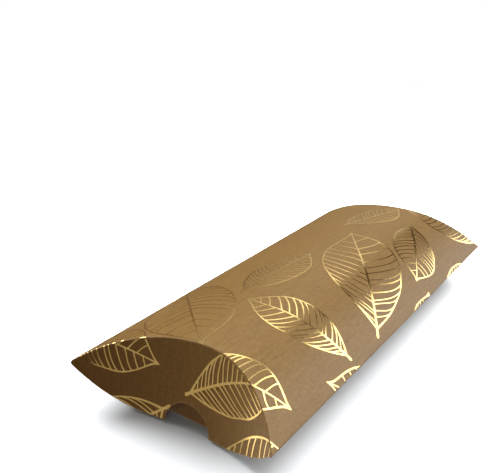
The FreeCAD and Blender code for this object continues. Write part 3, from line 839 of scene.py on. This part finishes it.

# ------------------------------------------------------------------ what each piece rides on
# ------------------------------------------------------------------ the pieces that ride on the sleeve; the end flaps
# stay as built

for name in ("card_top_panel", "card_bottom_panel", "card_right_fold", "card_glue_tab", "glue_strip"):
    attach(objects[name], "sleeve")
for name in ("foil_top_panel", "foil_bottom_panel", "foil_right_fold"):
    if name in objects:
        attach(objects[name], "sleeve")
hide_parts("top_panel")
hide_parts("bottom_panel")
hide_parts("right_side_fold")
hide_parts("glue_tab", "glue_tab_fold")
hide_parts("glue_line")

for end, side in (("front", -1.0), ("rear", 1.0)):
    for kind in ("outer", "inner"):
        for name in (f"card_{end}_{kind}_crease", f"card_{end}_{kind}_flap", f"foil_{end}_{kind}_flap"):
            if name in objects:
                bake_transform(objects[name])
        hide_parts(f"{end}_{kind}_crease")
        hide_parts(f"{end}_{kind}_flap")

# ------------------------------------------------------------------ floor, light and camera

mesh = bpy.data.meshes.new("floor")
mesh.from_pydata([(-4, -4, -0.00008), (4, -4, -0.00008), (4, 4, -0.00008), (-4, 4, -0.00008)], [], [(0, 1, 2, 3)])
floor = bpy.data.objects.new("floor", mesh)
bpy.context.scene.collection.objects.link(floor)
t = Tree("pale_floor")
t.bsdf.inputs["Base Color"].default_value = (0.50, 0.50, 0.50, 1)
t.bsdf.inputs["Roughness"].default_value = 0.9
t.bsdf.inputs["Specular IOR Level"].default_value = 0.0
# further out the floor is evenly white, whichever way the camera looks
away = t.nt.nodes.new("ShaderNodeVectorMath")
away.operation = "LENGTH"
t.nt.links.new(t.coords(), away.inputs[0])
glow = t.nt.nodes.new("ShaderNodeEmission")
outer = t.nt.nodes.new("ShaderNodeMixShader")
t.nt.links.new(t.span(away.outputs["Value"], 0.24, 0.60, 0.0, 1.0), outer.inputs[0])
t.nt.links.new(t.bsdf.outputs[0], outer.inputs[1])
t.nt.links.new(glow.outputs[0], outer.inputs[2])
geo = t.nt.nodes.new("ShaderNodeNewGeometry")
clear = t.nt.nodes.new("ShaderNodeBsdfTransparent")
pick = t.nt.nodes.new("ShaderNodeMixShader")
t.nt.links.new(geo.outputs["Backfacing"], pick.inputs[0])
t.nt.links.new(outer.outputs[0], pick.inputs[1])
t.nt.links.new(clear.outputs[0], pick.inputs[2])
t.nt.links.new(pick.outputs[0], t.out.inputs["Surface"])
mesh.materials.append(t.mat)
floor.visible_diffuse = False
floor.visible_glossy = False
floor.visible_shadow = False

# a plain white backdrop all round, which only the camera sees
ring = spread(0, 2 * math.pi, 49)[:-1]
rows = spread(-math.pi / 2, math.pi / 2, 25)
co = [(3.9 * math.cos(e) * math.cos(a), 3.9 * math.cos(e) * math.sin(a), 3.9 * math.sin(e)) for e in rows for a in ring]
quads = [(i * 48 + j, i * 48 + (j + 1) % 48, (i + 1) * 48 + (j + 1) % 48, (i + 1) * 48 + j) for i in range(24) for j in range(48)]
mesh = bpy.data.meshes.new("backdrop")
mesh.from_pydata(co, [], quads)
backdrop = bpy.data.objects.new("backdrop", mesh)
bpy.context.scene.collection.objects.link(backdrop)
t = Tree("white_backdrop")
t.nt.links.new(t.nt.nodes.new("ShaderNodeEmission").outputs[0], t.out.inputs["Surface"])
mesh.materials.append(t.mat)
backdrop.visible_diffuse = False
backdrop.visible_glossy = False
backdrop.visible_transmission = False
backdrop.visible_volume_scatter = False
backdrop.visible_shadow = False

# the floor has broad lamps of its own, so that it stays pale
only_floor = bpy.data.collections.new("floor_only")
only_floor.objects.link(floor)
for name, place, size, power, tone in (
    ("floor_lamp_left", (-0.72, 0.19, 0.67), 0.58, 35.0, (0.97, 1.0, 1.03)),
    ("floor_lamp_back", (0.17, 0.75, 0.64), 0.60, 37.0, (0.97, 1.0, 1.03)),
    ("floor_lamp_front", (0.45, -0.70, 0.55), 0.60, 1.2, (0.70, 0.96, 1.12)),
    ("floor_lamp_right", (0.75, 0.35, 0.30), 0.45, 4.5, (0.94, 1.0, 1.05)),
):
    lamp = bpy.data.lights.new(name, "AREA")
    lamp.shape, lamp.size, lamp.size_y = "RECTANGLE", size, size
    lamp.energy = power
    lamp.color = tone
    lamp_obj = bpy.data.objects.new(name, lamp)
    bpy.context.scene.collection.objects.link(lamp_obj)
    lamp_obj.location = place
    lamp_obj.rotation_euler = (-Vector(place)).to_track_quat("-Z", "Y").to_euler()
    lamp_obj.light_linking.receiver_collection = only_floor
    lamp_obj.visible_camera = False

world = bpy.data.worlds.new("studio")
bpy.context.scene.world = world
world.use_nodes = True
nt = world.node_tree
nt.nodes.clear()
out = nt.nodes.new("ShaderNodeOutputWorld")
back = nt.nodes.new("ShaderNodeBackground")
nt.links.new(back.outputs[0], out.inputs["Surface"])
co = nt.nodes.new("ShaderNodeTexCoord")
xyz = nt.nodes.new("ShaderNodeSeparateXYZ")
nt.links.new(co.outputs["Generated"], xyz.inputs[0])


def w_math(op, a, b):
    n = nt.nodes.new("ShaderNodeMath")
    n.operation = op
    for s, x in zip(n.inputs, (a, b)):
        if isinstance(x, bpy.types.NodeSocket):
            nt.links.new(x, s)
        else:
            s.default_value = x
    return n.outputs[0]


def step(value, a, b, rising=True):
    """Smooth step of an angle between a and b degrees."""
    m = nt.nodes.new("ShaderNodeMapRange")
    m.interpolation_type = "SMOOTHSTEP"
    m.inputs["From Min"].default_value = math.radians(a)
    m.inputs["From Max"].default_value = math.radians(b)
    m.inputs["To Min"].default_value = 0.0 if rising else 1.0
    m.inputs["To Max"].default_value = 1.0 if rising else 0.0
    nt.links.new(value, m.inputs["Value"])
    return m.outputs["Result"]


azimuth = w_math("ARCTAN2", xyz.outputs["X"], xyz.outputs["Y"])
height = w_math("ARCSINE", xyz.outputs["Z"], 0.0)


def panel(az0, az1, el0, el1, soft_az, soft_el):
    """1 inside a soft-edged rectangle of directions, 0 outside it."""
    a = w_math("MULTIPLY", step(azimuth, az0 - soft_az, az0 + soft_az), step(azimuth, az1 - soft_az, az1 + soft_az, False))
    b = w_math("MULTIPLY", step(height, el0 - soft_el, el0 + soft_el), step(height, el1 - soft_el, el1 + soft_el, False))
    return w_math("MULTIPLY", a, b)


def lobe(direction, inner, outer):
    """1 within inner degrees of a direction, falling smoothly to 0 at outer degrees."""
    dot = nt.nodes.new("ShaderNodeVectorMath")
    dot.operation = "DOT_PRODUCT"
    nt.links.new(co.outputs["Generated"], dot.inputs[0])
    dot.inputs[1].default_value = Vector(direction).normalized()
    return step(w_math("ARCCOSINE", dot.outputs["Value"], 0.0), inner, outer, False)


# a tent of soft light: azimuth is measured from +Y towards +X
def tinted(colour, amount):
    n = nt.nodes.new("ShaderNodeVectorMath")
    n.operation = "SCALE"
    n.inputs[0].default_value = colour
    nt.links.new(amount, n.inputs["Scale"])
    return n.outputs[0]


WHITE, WARM, COOL, DUSK, AMBER = (1.0, 1.0, 1.0), (1.0, 0.92, 0.78), (0.97, 1.0, 1.05), (1.0, 0.45, 0.25), (1.0, 0.72, 0.44)
total = None
gap = panel(-8, 16, 2, 46, 3.5, 5)
open_part = w_math("SUBTRACT", 1.0, w_math("MULTIPLY", gap, 0.95))
for colour, gain, shape in (
    (WHITE, 0.85, lobe((0.0, 0.40, 1.0), 14, 64)),          # overhead
    (DUSK, 0.02, lobe((0.0, 0.0, 1.0), 170, 180)),          # everywhere
    (WHITE, 0.65, lobe((0.0, 0.0, -1.0), 18, 42)),          # bounce from below
    (AMBER, 0.54, panel(138, 195, 12, 34, 8, 6)),           # lit wall, front
    (AMBER, 0.54, panel(-195, -142, 12, 34, 6, 6)),
    (WHITE, 1.05, panel(-40, -9, 31, 54, 4, 4)),            # softbox, back left
    (COOL, 2.65, panel(18, 74, -4, 50, 4, 6)),              # softbox, back right
    (WARM, 0.40, panel(-39, -14, -2, 31, 4, 6)),            # pale wall, back left
    (AMBER, 0.27, panel(-39, -14, -34, -2, 4, 6)),
    (AMBER, 0.19, panel(-82, -39, -34, 27, 4, 6)),          # darker wall beside it
    (WARM, 0.44, panel(-150, -98, -34, -11, 7, 5)),         # lit floor, left
    (WHITE, 7.60, panel(-113, -81, 20, 42, 5, 5)),          # softbox, left
    (WARM, 1.30, panel(-112, -74, -46, -26, 6, 4)),         # lit floor, far left
    (WARM, 0.60, panel(-18, 26, -40, -4, 6, 4)),            # lit floor, back
    (WARM, 0.36, panel(-179, -150, -30, -10, 6, 5)),        # lit strip of floor, front
):
    part = tinted(colour, w_math("MULTIPLY", w_math("MULTIPLY", shape, gain), open_part))
    if total is None:
        total = part
    else:
        n = nt.nodes.new("ShaderNodeVectorMath")
        n.operation = "ADD"
        nt.links.new(total, n.inputs[0])
        nt.links.new(part, n.inputs[1])
        total = n.outputs[0]
# what little light there is in the gap is brown
n = nt.nodes.new("ShaderNodeVectorMath")
n.operation = "ADD"
nt.links.new(total, n.inputs[0])
nt.links.new(tinted(DUSK, w_math("MULTIPLY", gap, 0.045)), n.inputs[1])
nt.links.new(n.outputs[0], back.inputs["Color"])
back.inputs["Strength"].default_value = 1.0

cam = bpy.data.cameras.new("camera")
cam.sensor_fit = "HORIZONTAL"
cam.sensor_width = 36.0
cam.lens = 660.53 * 36.0 / 489.0
cam.clip_start, cam.clip_end = 0.01, 20
camera = bpy.data.objects.new("camera", cam)
bpy.context.scene.collection.objects.link(camera)
right = Vector((0.81377994, 0.58113749, 0.00643612))
down = Vector((0.2274505, -0.30827398, -0.92370635))
ahead = Vector((-0.5348163, 0.7531576, -0.38304719))
where = Vector((117.035, -211.117, 139.508)) * MM
m = Matrix((right, -down, -ahead)).transposed().to_4x4()
m.translation = where
camera.matrix_world = m
bpy.context.scene.camera = camera

bpy.context.scene.view_settings.view_transform = "Standard"
bpy.context.scene.view_settings.look = "None"
bpy.context.scene.view_settings.exposure = 0.0

bpy.context.view_layer.update()
